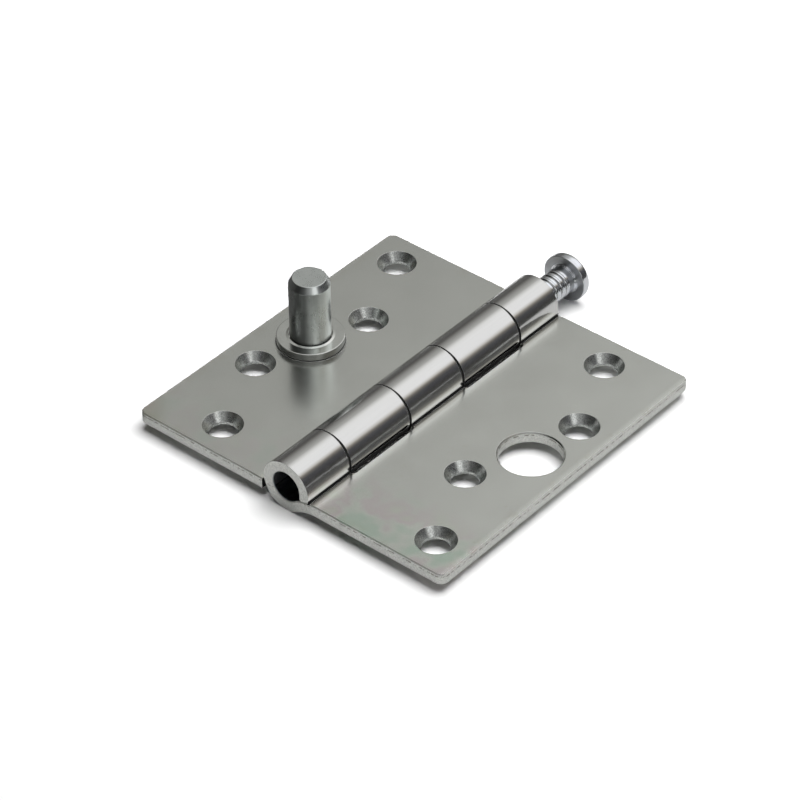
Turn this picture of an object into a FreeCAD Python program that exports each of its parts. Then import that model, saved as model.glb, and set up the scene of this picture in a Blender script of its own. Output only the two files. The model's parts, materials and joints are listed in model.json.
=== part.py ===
import FreeCAD, Part
import math
import os
import Sketcher

# Security butt hinge with a loose pin, lying open and flat, in millimetres.
# Two plates are rolled into five knuckles round one pin. One plate carries a riveted steel stud in
# a collar, the other has the keeper hole that the stud goes through when the door is shut.
# Frame: the origin is on the pin's axis, half way along it. +Y runs along the pin to its head,
# +X across the leaf with the keeper hole, and +Z away from the face that is screwed to the wood.

DRIVING_SIZES = [
    ("hinge_length", 89.0, "along the pin"),
    ("open_width", 89.0, "across both leaves, opened flat"),
    ("leaf_thickness", 2.7, "rolled steel sheet"),
    ("axis_above_face", 1.3, "height of the pin's axis above the leaves' top faces"),
    ("pin_diameter", 7.1, "shank of the hinge pin"),
    ("pin_gap", 0.2, "between the pin and the knuckles' bore, all round"),
    ("bend_radius", 10.0, "underside of the bend from the leaf into the knuckle"),
    ("tip_gap", 0.12, "between the rolled tip and the leaf below it"),
    ("tip_bevel", 0.65, "bevel on the inner corner of the rolled tip"),
    ("end_knuckle_length", 14.35, "first and fifth knuckle"),
    ("middle_knuckle_length", 18.8, "third knuckle"),
    ("knuckle_gap", 0.25, "between neighbouring knuckles"),
    ("keeper_edge_gap", 1.25, "from the keeper leaf's cut back edge to the other leaf's knuckles"),
    ("stud_edge_gap", 0.6, "from the stud leaf's cut back edge to the other leaf's knuckles"),
    ("notch_round", 0.8, "inner corners of the notches between knuckles"),
    ("mouth_gap", 0.15, "between the pin's shoulder and the mouth of the fifth knuckle"),
    ("leaf_corner_round", 2.0, "outer corners of the leaves, seen from above"),
    ("rim_chamfer", 0.25, "broken edge along the leaves' outline, on the face's side"),
    ("screw_hole_diameter", 6.6, "narrow part of a screw hole"),
    ("screw_cone_diameter", 9.5, "wide end of a screw hole's cone"),
    ("screw_cone_angle", 70.0, "included angle of the cone, in degrees"),
    ("outer_screw_inset", 8.8, "outer column of screws, from the leaf's outer edge"),
    ("inner_screw_inset", 18.0, "inner column of screws, from the leaf's outer edge"),
    ("end_screw_inset", 8.6, "screws near the ends, from the leaf's end"),
    ("middle_screw_spread", 29.3, "between the two screws near the middle, along the pin"),
    ("keeper_diameter", 15.0, "hole that takes the stud"),
    ("keeper_rim_chamfer", 0.3, "broken edge of the keeper hole, on the face's side"),
    ("keeper_inset", 11.1, "middle of the keeper hole, from the leaf's outer edge"),
    ("stud_lead", 1.8, "how much nearer to the pin than the keeper hole the stud stands"),
    ("stud_diameter", 9.8, "shank of the stud"),
    ("stud_height", 18.2, "top of the stud above its leaf"),
    ("stud_neck_depth", 0.2, "how much the stud narrows inside the collar"),
    ("stud_chamfer_width", 0.9, "chamfer at the stud's top, across"),
    ("stud_chamfer_height", 1.65, "chamfer at the stud's top, upwards"),
    ("collar_diameter", 16.1, "outside of the collar"),
    ("collar_height", 1.9, "collar above the leaf"),
    ("collar_floor", 1.2, "bottom of the collar's recess, under the stud's shoulder"),
    ("collar_recess_gap", 0.25, "between the stud and the wall of the collar's recess"),
    ("collar_edge_chamfer", 0.3, "outer and inner top edge of the collar"),
    ("spigot_diameter", 7.0, "riveted end of the stud"),
    ("spigot_gap", 0.05, "between the spigot and its holes"),
    ("rivet_head_diameter", 9.4, "spread end of the spigot, flush with the leaf's back"),
    ("rivet_head_height", 1.1, "depth of the spread end"),
    ("pin_length", 88.0, "from under the pin's head to its tip"),
    ("pin_drawn_out", 10.4, "gap left between the head and the fifth knuckle"),
    ("pin_tip_width", 0.9, "chamfer at the pin's tip, across"),
    ("pin_tip_length", 1.6, "chamfer at the pin's tip, lengthwise"),
    ("pin_shoulder_rise", 0.3, "how far the shoulder under the head stands out from the shank"),
    ("pin_shoulder_land", 0.1, "straight part of the shoulder, next to the head"),
    ("pin_shoulder_cone", 0.3, "from the straight part down to the shank"),
    ("pin_head_inset", 0.45, "how far inside the barrel's outline the head's rim lies"),
    ("pin_head_height", 2.5, "thickness of the head"),
    ("pin_head_chamfer", 0.9, "outer rim of the head"),
    ("pin_head_edge_chamfer", 0.2, "inner rim of the head"),
    ("rib_count", 4.0, "grooves between the gripping ribs"),
    ("rib_pitch", 1.8, "from groove to groove"),
    ("rib_groove_depth", 0.35, "depth of a groove"),
    ("rib_groove_width", 1.0, "width of a groove at the shank's surface"),
    ("rib_start", 3.4, "last groove, from under the head"),
]

document = FreeCAD.newDocument("security_hinge")
sheet = document.addObject("Spreadsheet::Sheet", "size")
for row, (alias, number, meaning) in enumerate(DRIVING_SIZES, start=1):
    sheet.set(f"A{row}", alias)
    sheet.set(f"B{row}", str(number))
    sheet.set(f"C{row}", meaning)
    sheet.setAlias(f"B{row}", alias)
document.recompute()

# Formulas of the driving sizes that more than one sub-part uses.
HALF_LENGTH = "size.hinge_length / 2"
HALF_WIDTH = "size.open_width / 2"
PIN_RADIUS = "(size.pin_diameter / 2)"
BORE_RADIUS = "(size.pin_diameter / 2 + size.pin_gap)"
BARREL_RADIUS = "(size.pin_diameter / 2 + size.pin_gap + size.leaf_thickness)"
SHOULDER_RADIUS = "(size.pin_diameter / 2 + size.pin_shoulder_rise)"
HEAD_RADIUS = f"({BARREL_RADIUS} - size.pin_head_inset)"
FACE_Z = "-size.axis_above_face"
BACK_Z = "-(size.axis_above_face + size.leaf_thickness)"
OUTER_SEAM = "(size.hinge_length / 2 - size.end_knuckle_length)"
INNER_SEAM = "(size.middle_knuckle_length / 2)"
INNER_SCREW_X = "(size.open_width / 2 - size.inner_screw_inset)"
OUTER_SCREW_X = "(size.open_width / 2 - size.outer_screw_inset)"
END_SCREW_Y = "(size.hinge_length / 2 - size.end_screw_inset)"
MIDDLE_SCREW_Y = "(size.middle_screw_spread / 2)"
KEEPER_X = "(size.open_width / 2 - size.keeper_inset)"
STUD_X = "(size.open_width / 2 - size.keeper_inset - size.stud_lead)"
CUT_EDGES = {
    1: f"({BARREL_RADIUS} + size.keeper_edge_gap)",
    -1: f"({BARREL_RADIUS} + size.stud_edge_gap)",
}
CUT_OVERRUN = f"({BARREL_RADIUS} + size.leaf_thickness)"
SPIGOT_RADIUS = "size.spigot_diameter / 2"
SPIGOT_HOLE_RADIUS = "(size.spigot_diameter / 2 + size.spigot_gap)"

SAME_PLACE = 1e-4
LEAST_CUT = 0.01


def value(formula):
    """Number that a formula of the driving sizes gives."""
    return float(sheet.evalExpression(formula))


def origin_plane(body, role):
    """The body's own origin plane with this role."""
    for feature in body.Origin.OriginFeatures:
        if feature.Role == role:
            return feature
    raise RuntimeError(f"{body.Label} has no {role}")


def new_body(label):
    body = document.addObject("PartDesign::Body", label)
    body.Label = label
    return body


def new_sketch(body, name, role, height=None):
    """Empty sketch on an origin plane, raised along the plane's normal by a formula."""
    sketch = body.newObject("Sketcher::SketchObject", name)
    sketch.AttachmentSupport = [(origin_plane(body, role), "")]
    sketch.MapMode = "FlatFace"
    if height is not None:
        sketch.setExpression("AttachmentOffset.Base.z", height)
    return sketch


def dimension(sketch, kind, references, formula):
    """One driving constraint, bound to a formula."""
    index = sketch.addConstraint(Sketcher.Constraint(kind, *references, value(formula)))
    sketch.setExpression(f"Constraints[{index}]", formula)


def set_coordinate(sketch, kind, vertex, formula):
    """Fix one coordinate of a vertex, measured from the sketch's origin."""
    number = value(formula)
    origin = (-1, 1)
    if abs(number) < SAME_PLACE:
        axis = -2 if kind == "DistanceX" else -1
        sketch.addConstraint(Sketcher.Constraint("PointOnObject", *vertex, axis))
    elif number > 0:
        dimension(sketch, kind, (*origin, *vertex), formula)
    else:
        dimension(sketch, kind, (*vertex, *origin), f"-({formula})")


def set_point(sketch, vertex, across, up):
    """Fix both coordinates of a vertex by formulas."""
    set_coordinate(sketch, "DistanceX", vertex, across)
    set_coordinate(sketch, "DistanceY", vertex, up)


def add_arc(sketch, centre, begin, end, turn):
    """Arc from begin to end, counterclockwise for turn 1. Gives (index, begin vertex, end vertex)."""
    first, last = (begin, end) if turn > 0 else (end, begin)
    radius = (begin - centre).Length
    start_angle = math.atan2(first.y - centre.y, first.x - centre.x)
    end_angle = math.atan2(last.y - centre.y, last.x - centre.x)
    circle = Part.Circle(centre, FreeCAD.Vector(0, 0, 1), radius)
    index = sketch.addGeometry(Part.ArcOfCircle(circle, start_angle, end_angle))
    return (index, 1, 2) if turn > 0 else (index, 2, 1)


def draw_outline(sketch, start, steps):
    """Closed outline of lines and arcs.

    A step is ("line", end, smooth) or ("arc", end, smooth, centre, turn), where smooth says that
    it leaves its first point in line with the step before.
    """
    pieces = []
    point = start
    for step in steps:
        end = step[1]
        if step[0] == "line":
            pieces.append((sketch.addGeometry(Part.LineSegment(point, end)), 1, 2))
        else:
            pieces.append(add_arc(sketch, step[3], point, end, step[4]))
        point = end
    for number, (index, begin, _) in enumerate(pieces):
        before, _, last = pieces[number - 1]
        kind = "Tangent" if steps[number][2] else "Coincident"
        sketch.addConstraint(Sketcher.Constraint(kind, before, last, index, begin))
    return pieces


def draw_polygon(sketch, corners):
    """Closed outline of straight lines, with every corner fixed by two formulas."""
    points = [FreeCAD.Vector(value(across), value(up), 0) for across, up in corners]
    steps = [("line", point, False) for point in points[1:] + points[:1]]
    pieces = draw_outline(sketch, points[0], steps)
    for (index, begin, _), (across, up) in zip(pieces, corners):
        set_point(sketch, (index, begin), across, up)


def add_circle(sketch, across, up, radius):
    """Circle whose centre and radius are formulas."""
    centre = FreeCAD.Vector(value(across), value(up), 0)
    index = sketch.addGeometry(Part.Circle(centre, FreeCAD.Vector(0, 0, 1), value(radius)))
    dimension(sketch, "Radius", (index,), radius)
    set_point(sketch, (index, 3), across, up)


def signed(side, formula):
    """Formula for a place on the leaf at +X (side 1) or at -X (side -1)."""
    return formula if side > 0 else f"-({formula})"


def check_cut(before, feature, name):
    """A cut that points away from the solid shows no error, so its volume is compared."""
    if feature.Shape.Volume > before - LEAST_CUT:
        raise RuntimeError(f"{name} removes nothing")


def draw_leaf_section(sketch, side):
    """Section across a leaf at one of its knuckles, seen with the sheet's x along the leaf.

    From the outer edge the sheet runs level, bends down under the pin, goes once round the bore
    and comes down on its own top face, where the rolled tip is cut to follow the bend below it.
    """
    bore = value(BORE_RADIUS)
    barrel = value(BARREL_RADIUS)
    bend = value("size.bend_radius")
    thickness = value("size.leaf_thickness")
    face = value(FACE_Z)
    back = value(BACK_Z)
    edge = value(HALF_WIDTH)
    bevel = value("size.tip_bevel")
    bend_top = bend + thickness
    tip_circle = bend_top + value("size.tip_gap")
    centre_z = back - bend
    centre_x = math.sqrt((barrel + bend) ** 2 - centre_z ** 2)

    def at(x, z):
        return FreeCAD.Vector(side * x, z, 0)

    def on_circle(x, radius):
        return centre_z + math.sqrt(radius ** 2 - (centre_x - x) ** 2)

    axis = at(0, 0)
    bend_centre = at(centre_x, centre_z)
    reach = barrel + bend
    outer_touch = at(centre_x * barrel / reach, centre_z * barrel / reach)
    inner_touch = at(centre_x * bore / reach, centre_z * bore / reach)
    bevel_z = on_circle(bore + bevel, tip_circle)
    pieces = draw_outline(sketch, at(edge, back), [
        ("line", at(centre_x, back), False),
        ("arc", outer_touch, True, bend_centre, side),
        ("arc", at(barrel, 0), True, axis, -side),
        ("line", at(barrel, on_circle(barrel, tip_circle)), True),
        ("arc", at(bore + bevel, bevel_z), False, bend_centre, side),
        ("line", at(bore, bevel_z + bevel), False),
        ("line", at(bore, 0), False),
        ("arc", inner_touch, True, axis, side),
        ("arc", at(centre_x, face), True, bend_centre, -side),
        ("line", at(edge, face), True),
        ("line", at(edge, back), False),
    ])
    names = ("back", "under_bend", "barrel", "tip_outside", "tip_end", "tip_bevel",
             "tip_inside", "bore", "top_bend", "face", "edge")
    geometry = {name: piece[0] for name, piece in zip(names, pieces)}
    vertex = {name: (piece[0], piece[1]) for name, piece in zip(names, pieces)}
    for name in ("back", "face"):
        sketch.addConstraint(Sketcher.Constraint("Horizontal", geometry[name]))
    for name in ("tip_outside", "tip_inside", "edge"):
        sketch.addConstraint(Sketcher.Constraint("Vertical", geometry[name]))
    for name in ("barrel", "bore"):
        sketch.addConstraint(Sketcher.Constraint("Coincident", geometry[name], 3, -1, 1))
    for name in ("top_bend", "tip_end"):
        sketch.addConstraint(
            Sketcher.Constraint("Coincident", geometry[name], 3, geometry["under_bend"], 3))
    dimension(sketch, "Radius", (geometry["bore"],), BORE_RADIUS)
    dimension(sketch, "Radius", (geometry["under_bend"],), "size.bend_radius")
    dimension(sketch, "Radius", (geometry["tip_end"],),
              "size.bend_radius + size.leaf_thickness + size.tip_gap")
    set_point(sketch, vertex["back"], signed(side, HALF_WIDTH), BACK_Z)
    set_coordinate(sketch, "DistanceY", vertex["face"], FACE_Z)
    set_coordinate(sketch, "DistanceX", vertex["tip_bevel"],
                   signed(side, f"{BORE_RADIUS} + size.tip_bevel"))
    dimension(sketch, "DistanceY", (*vertex["tip_bevel"], *vertex["tip_inside"]), "size.tip_bevel")


def draw_notch(sketch, side, low, high, low_is_open=False, high_is_open=False):
    """Room for one knuckle of the other leaf, as a rectangle with round corners at the leaf."""
    cut = value(CUT_EDGES[side]) * side
    far = -value(CUT_OVERRUN) * side
    bottom = value(low)
    top = value(high)
    corner = value("size.notch_round")

    def at(x, y):
        return FreeCAD.Vector(x, y, 0)

    steps = []
    named = []

    def add(name, *step):
        named.append(name)
        steps.append(step)

    inner = cut - corner * side
    if low_is_open:
        add("bottom", "line", at(cut, bottom), False)
    else:
        add("bottom", "line", at(inner, bottom), False)
        add("low_corner", "arc", at(cut, bottom + corner), True, at(inner, bottom + corner), side)
    if high_is_open:
        add("cut", "line", at(cut, top), not low_is_open)
        add("top", "line", at(far, top), False)
    else:
        add("cut", "line", at(cut, top - corner), not low_is_open)
        add("high_corner", "arc", at(inner, top), True, at(inner, top - corner), side)
        add("top", "line", at(far, top), True)
    add("far", "line", at(far, bottom), False)
    pieces = dict(zip(named, draw_outline(sketch, at(far, bottom), steps)))
    for name, kind in (("bottom", "Horizontal"), ("top", "Horizontal"), ("cut", "Vertical"),
                       ("far", "Vertical")):
        sketch.addConstraint(Sketcher.Constraint(kind, pieces[name][0]))
    for name in ("low_corner", "high_corner"):
        if name in pieces:
            dimension(sketch, "Radius", (pieces[name][0],), "size.notch_round")
    set_point(sketch, pieces["bottom"][:2], signed(-side, CUT_OVERRUN), low)
    set_coordinate(sketch, "DistanceY", pieces["far"][:2], high)
    set_coordinate(sketch, "DistanceX", pieces["cut"][:2], signed(side, CUT_EDGES[side]))


def edges_where(shape, wanted):
    """Names of the edges whose ends and middle all lie where wanted says."""
    names = []
    for number, edge in enumerate(shape.Edges, start=1):
        middle = edge.valueAt((edge.FirstParameter + edge.LastParameter) / 2)
        points = [vertex.Point for vertex in edge.Vertexes] + [middle]
        if all(wanted(point) for point in points):
            names.append(f"Edge{number}")
    return names


def near(number, target):
    return abs(number - target) < SAME_PLACE


def dress_edges(body, kind, name, size_property, formula, wanted):
    """Fillet or chamfer on the edges of the body's last feature that wanted picks."""
    base = body.Tip
    edges = edges_where(base.Shape, wanted)
    if not edges:
        raise RuntimeError(f"{name} finds no edge")
    feature = body.newObject(kind, name)
    feature.Base = (base, edges)
    feature.setExpression(size_property, formula)
    document.recompute()
    return feature


def cut_groove(body, name, profile, axis):
    """Cut turned about one of the profile's axes."""
    document.recompute()
    before = body.Shape.Volume
    groove = body.newObject("PartDesign::Groove", name)
    groove.Profile = profile
    groove.ReferenceAxis = (profile, [axis])
    groove.Angle = 360
    document.recompute()
    check_cut(before, groove, name)
    return groove


def screw_holes(body, name, centres):
    """Holes with a steep cone for countersunk screws, cut down from the leaf's top face."""
    sketch = new_sketch(body, f"{name}_centres", "XY_Plane", FACE_Z)
    for across, along in centres:
        add_circle(sketch, across, along, "size.screw_hole_diameter / 2")
    document.recompute()
    before = body.Shape.Volume
    hole = body.newObject("PartDesign::Hole", name)
    hole.Profile = sketch
    hole.DepthType = "ThroughAll"
    hole.HoleCutType = "Countersink"
    hole.HoleCutCustomValues = True
    hole.setExpression("Diameter", "size.screw_hole_diameter")
    hole.setExpression("HoleCutDiameter", "size.screw_cone_diameter")
    hole.setExpression("HoleCutCountersinkAngle", "size.screw_cone_angle")
    document.recompute()
    check_cut(before, hole, name)


def rolled_leaf(label, side, notches, screws):
    """Leaf with its knuckles: the section drawn out along the pin, then notched and drilled."""
    body = new_body(label)
    section = new_sketch(body, f"{label}_section", "XZ_Plane")
    draw_leaf_section(section, side)
    rolled = body.newObject("PartDesign::Pad", f"{label}_rolled")
    rolled.Profile = section
    rolled.SideType = "Symmetric"
    rolled.setExpression("Length", "size.hinge_length")
    document.recompute()

    outline = new_sketch(body, f"{label}_notch_outline", "XY_Plane")
    for notch in notches:
        draw_notch(outline, side, *notch)
    cut = body.newObject("PartDesign::Pocket", f"{label}_notches")
    cut.Profile = outline
    cut.SideType = "Symmetric"
    cut.Type = "ThroughAll"
    document.recompute()
    check_cut(rolled.Shape.Volume, cut, f"{label}_notches")

    edge_x = value(HALF_WIDTH) * side
    end_y = value(HALF_LENGTH)
    dress_edges(body, "PartDesign::Fillet", f"{label}_corners", "Radius", "size.leaf_corner_round",
                lambda point: near(point.x, edge_x) and near(abs(point.y), end_y))
    screw_holes(body, f"{label}_screw_holes",
                [(signed(side, across), along) for across, along in screws])
    return body


def break_leaf_rim(body, side):
    """Broken edge along the leaf's outer side, its ends and, past the bend, the end knuckles' bore."""
    edge_x = value(HALF_WIDTH)
    corner = value("size.leaf_corner_round")
    face = value(FACE_Z)
    end_y = value(HALF_LENGTH)
    dress_edges(body, "PartDesign::Chamfer", f"{body.Label}_rim", "Size", "size.rim_chamfer",
                lambda point: near(point.z, face) and side * point.x > edge_x - corner - SAME_PLACE
                and (near(side * point.x, edge_x) or abs(point.y) > end_y - corner))


# The leaf with the keeper hole has the first, third and fifth knuckle, so it is notched for the
# second and fourth.
low_notch = (f"-({OUTER_SEAM} + size.knuckle_gap / 2)", f"-({INNER_SEAM} - size.knuckle_gap / 2)")
high_notch = (f"{INNER_SEAM} - size.knuckle_gap / 2", f"{OUTER_SEAM} + size.knuckle_gap / 2")
keeper_leaf = rolled_leaf("leaf_with_keeper_hole", 1, [low_notch, high_notch], [
    (OUTER_SCREW_X, f"-{END_SCREW_Y}"),
    (INNER_SCREW_X, f"-{MIDDLE_SCREW_Y}"),
    (OUTER_SCREW_X, MIDDLE_SCREW_Y),
    (INNER_SCREW_X, END_SCREW_Y),
])

keeper_outline = new_sketch(keeper_leaf, "keeper_hole_outline", "XY_Plane")
add_circle(keeper_outline, KEEPER_X, "0", "size.keeper_diameter / 2")
drilled_volume = keeper_leaf.Shape.Volume
keeper_hole = keeper_leaf.newObject("PartDesign::Pocket", "keeper_hole")
keeper_hole.Profile = keeper_outline
keeper_hole.SideType = "Symmetric"
keeper_hole.Type = "ThroughAll"
document.recompute()
check_cut(drilled_volume, keeper_hole, "keeper_hole")

keeper_radius = value("size.keeper_diameter / 2")
keeper_centre = FreeCAD.Vector(value(KEEPER_X), 0, value(FACE_Z))
dress_edges(keeper_leaf, "PartDesign::Chamfer", "keeper_rim", "Size", "size.keeper_rim_chamfer",
            lambda point: near((point - keeper_centre).Length, keeper_radius))
break_leaf_rim(keeper_leaf, 1)

# Countersunk mouth of the fifth knuckle, which takes the shoulder under the pin's head.
mouth_section = new_sketch(keeper_leaf, "knuckle_mouth_section", "XY_Plane")
mouth_depth = "(size.pin_shoulder_rise + size.mouth_gap)"
draw_polygon(mouth_section, [
    ("0", f"{HALF_LENGTH} - {mouth_depth} - {BORE_RADIUS}"),
    (f"{BORE_RADIUS} + 2 * {mouth_depth}", f"{HALF_LENGTH} + {mouth_depth}"),
    ("0", f"{HALF_LENGTH} + {mouth_depth}"),
])
cut_groove(keeper_leaf, "knuckle_mouth", mouth_section, "V_Axis")

# The leaf with the stud has the second and fourth knuckle, so it is notched for the other three.
beyond_end = f"{HALF_LENGTH} + size.end_knuckle_length / 2"
first_notch = (f"-({beyond_end})", f"-({OUTER_SEAM} - size.knuckle_gap / 2)", True, False)
third_notch = (f"-({INNER_SEAM} + size.knuckle_gap / 2)", f"{INNER_SEAM} + size.knuckle_gap / 2")
fifth_notch = (f"{OUTER_SEAM} - size.knuckle_gap / 2", beyond_end, False, True)
stud_leaf = rolled_leaf("leaf_with_stud", -1, [first_notch, third_notch, fifth_notch], [
    (INNER_SCREW_X, f"-{END_SCREW_Y}"),
    (OUTER_SCREW_X, f"-{MIDDLE_SCREW_Y}"),
    (INNER_SCREW_X, MIDDLE_SCREW_Y),
    (OUTER_SCREW_X, END_SCREW_Y),
])

# Hole for the stud's spigot, wider at the leaf's back where the spigot is spread.
spigot_hole_sketch = new_sketch(stud_leaf, "spigot_hole_section", "XZ_Plane")
spread_radius = "(size.rivet_head_diameter / 2 + size.spigot_gap)"
spread_top = f"{BACK_Z} + size.rivet_head_height"
draw_polygon(spigot_hole_sketch, [
    (f"-{STUD_X}", "0"),
    (f"-{STUD_X}", f"{BACK_Z} - size.rivet_head_height"),
    (f"-{STUD_X} + {spread_radius}", f"{BACK_Z} - size.rivet_head_height"),
    (f"-{STUD_X} + {spread_radius}", BACK_Z),
    (f"-{STUD_X} + {SPIGOT_HOLE_RADIUS}", spread_top),
    (f"-{STUD_X} + {SPIGOT_HOLE_RADIUS}", "0"),
])
spigot_axis_geometry = Part.LineSegment(
    FreeCAD.Vector(-value(STUD_X), 0, 0), FreeCAD.Vector(-value(STUD_X), 1, 0))
spigot_axis = spigot_hole_sketch.addGeometry(spigot_axis_geometry, True)
spigot_hole_sketch.addConstraint(Sketcher.Constraint("Vertical", spigot_axis))
spigot_hole_sketch.addConstraint(Sketcher.Constraint("Coincident", spigot_axis, 1, 0, 1))
dimension(spigot_hole_sketch, "DistanceY", (spigot_axis, 1, spigot_axis, 2), "size.leaf_thickness")
cut_groove(stud_leaf, "spigot_hole", spigot_hole_sketch, "Axis0")
break_leaf_rim(stud_leaf, -1)


def turned_body(label, corners):
    """Body turned about its own Z axis from a profile of (radius, height) formulas."""
    body = new_body(label)
    profile = new_sketch(body, f"{label}_profile", "XZ_Plane")
    draw_polygon(profile, corners)
    turned = body.newObject("PartDesign::Revolution", f"{label}_turned")
    turned.Profile = profile
    turned.ReferenceAxis = (profile, ["V_Axis"])
    turned.Angle = 360
    document.recompute()
    return body


def on_circle_edge(radius, height):
    """Test for the points of one level circle round a turned body's axis."""
    def test(point):
        return near(math.hypot(point.x, point.y), value(radius)) and near(point.z, value(height))
    return test


def stand_on_leaf(body):
    """Put a turned body where the stud stands, with its zero height on the leaf's top face."""
    body.setExpression("Placement.Base.x", f"-{STUD_X}")
    body.setExpression("Placement.Base.z", FACE_Z)


# The stud narrows to a neck inside the collar and sits with its shoulder on the floor of the
# collar's recess. Its spigot goes through collar and leaf and is spread into the cone at the
# leaf's back.
neck_radius = "(size.stud_diameter / 2 - size.stud_neck_depth)"
stud = turned_body("security_stud", [
    ("0", "-size.leaf_thickness"),
    ("size.rivet_head_diameter / 2", "-size.leaf_thickness"),
    (SPIGOT_RADIUS, "size.rivet_head_height - size.leaf_thickness"),
    (SPIGOT_RADIUS, "size.collar_floor"),
    (neck_radius, "size.collar_floor"),
    (neck_radius, "size.collar_height - size.stud_neck_depth"),
    ("size.stud_diameter / 2", "size.collar_height"),
    ("size.stud_diameter / 2", "size.stud_height - size.stud_chamfer_height"),
    ("size.stud_diameter / 2 - size.stud_chamfer_width", "size.stud_height"),
    ("0", "size.stud_height"),
])
stand_on_leaf(stud)

recess_radius = "(size.stud_diameter / 2 + size.collar_recess_gap)"
collar = turned_body("stud_collar", [
    (SPIGOT_HOLE_RADIUS, "0"),
    ("size.collar_diameter / 2", "0"),
    ("size.collar_diameter / 2", "size.collar_height"),
    (recess_radius, "size.collar_height"),
    (recess_radius, "size.collar_floor"),
    (SPIGOT_HOLE_RADIUS, "size.collar_floor"),
])
dress_edges(collar, "PartDesign::Chamfer", "collar_outer_edge", "Size", "size.collar_edge_chamfer",
            on_circle_edge("size.collar_diameter / 2", "size.collar_height"))
dress_edges(collar, "PartDesign::Chamfer", "collar_inner_edge", "Size", "size.collar_edge_chamfer",
            on_circle_edge(recess_radius, "size.collar_height"))
stand_on_leaf(collar)

# The pin is turned about its own Z axis, with zero height under its head, and laid along +Y.
pin = turned_body("hinge_pin", [
    ("0", "-size.pin_length"),
    (f"{PIN_RADIUS} - size.pin_tip_width", "-size.pin_length"),
    (PIN_RADIUS, "size.pin_tip_length - size.pin_length"),
    (PIN_RADIUS, "-(size.pin_shoulder_land + size.pin_shoulder_cone)"),
    (SHOULDER_RADIUS, "-size.pin_shoulder_land"),
    (SHOULDER_RADIUS, "0"),
    (HEAD_RADIUS, "0"),
    (HEAD_RADIUS, "size.pin_head_height"),
    ("0", "size.pin_head_height"),
])
dress_edges(pin, "PartDesign::Chamfer", "head_rim", "Size", "size.pin_head_chamfer",
            on_circle_edge(HEAD_RADIUS, "size.pin_head_height"))
dress_edges(pin, "PartDesign::Chamfer", "head_edge", "Size", "size.pin_head_edge_chamfer",
            on_circle_edge(HEAD_RADIUS, "0"))

# Vee grooves leave the ribs that hold the pin by friction. The cutting triangle is drawn out to
# twice its depth, so that its wide end lies clear of the shank.
groove_profile = new_sketch(pin, "rib_groove_profile", "XZ_Plane")
draw_polygon(groove_profile, [
    (f"{PIN_RADIUS} - size.rib_groove_depth", "-size.rib_start"),
    (f"{PIN_RADIUS} + size.rib_groove_depth", "-size.rib_start - size.rib_groove_width"),
    (f"{PIN_RADIUS} + size.rib_groove_depth", "size.rib_groove_width - size.rib_start"),
])
rib_groove = cut_groove(pin, "rib_groove", groove_profile, "V_Axis")
ribs = pin.newObject("PartDesign::LinearPattern", "ribs")
ribs.Originals = [rib_groove]
ribs.Direction = (groove_profile, ["V_Axis"])
ribs.Reversed = True
ribs.setExpression("Length", "size.rib_pitch * (size.rib_count - 1)")
ribs.setExpression("Occurrences", "size.rib_count")
pin.Tip = ribs
document.recompute()
check_cut(rib_groove.Shape.Volume, ribs, "ribs")
pin.Placement.Rotation = FreeCAD.Rotation(FreeCAD.Vector(1, 0, 0), -90)
pin.setExpression("Placement.Base.y", f"{HALF_LENGTH} + size.pin_drawn_out")
document.recompute()

SUB_PARTS = [keeper_leaf, stud_leaf, stud, collar, pin]
for item in document.Objects:
    if "Invalid" in item.State or "Error" in item.State:
        raise RuntimeError(f"{item.Label} could not be built: {item.State}")
for body in SUB_PARTS:
    if body.Shape.isNull() or not body.Shape.isValid() or len(body.Shape.Solids) != 1:
        raise RuntimeError(f"{body.Label} is not one valid solid")

os.makedirs("parts", exist_ok=True)
for body in SUB_PARTS:
    body.Shape.exportStep(f"parts/{body.Label}.step")
    print(f"{body.Label}: {body.Shape.Volume:.1f} cubic millimetres")
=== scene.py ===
"""Finishes and studio for a security butt hinge with a loose pin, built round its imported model."""

import json
import math

import bmesh
import bpy
import numpy as np
from mathutils import Matrix, Vector


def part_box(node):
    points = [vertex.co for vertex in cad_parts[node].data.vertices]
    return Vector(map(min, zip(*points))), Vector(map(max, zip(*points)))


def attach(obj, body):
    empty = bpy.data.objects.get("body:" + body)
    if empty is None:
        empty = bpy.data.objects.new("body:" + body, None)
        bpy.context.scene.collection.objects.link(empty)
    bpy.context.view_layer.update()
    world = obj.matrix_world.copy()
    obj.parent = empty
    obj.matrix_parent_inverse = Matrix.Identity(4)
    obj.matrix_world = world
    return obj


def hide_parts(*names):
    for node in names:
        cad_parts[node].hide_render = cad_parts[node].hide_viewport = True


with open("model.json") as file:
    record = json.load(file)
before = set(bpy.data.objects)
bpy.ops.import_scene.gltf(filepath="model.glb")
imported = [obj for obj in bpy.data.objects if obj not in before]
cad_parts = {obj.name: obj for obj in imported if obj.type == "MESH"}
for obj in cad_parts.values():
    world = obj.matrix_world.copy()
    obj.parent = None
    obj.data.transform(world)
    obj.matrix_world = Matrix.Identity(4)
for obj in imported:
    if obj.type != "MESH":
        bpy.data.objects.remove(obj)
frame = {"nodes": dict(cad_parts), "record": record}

bl_info = {
    "name": "Security hinge finishes",
    "version": (1, 0, 0),
    "blender": (4, 5, 0),
    "location": "3D View > Sidebar > Hinge",
    "description": "Zinc finishes, turned pieces and studio for a security butt hinge",
    "category": "Object",
}

MM = 0.001
IMAGE_SIDE_PX = 800
SENSOR_MM = 36.0
TURN_SEGMENTS = 128
ROUND_STEPS = 6
HOLD_SHARE = 0.25
LEAST_HOLD = 0.02 * MM
SAME_POINT = 1e-8

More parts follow.
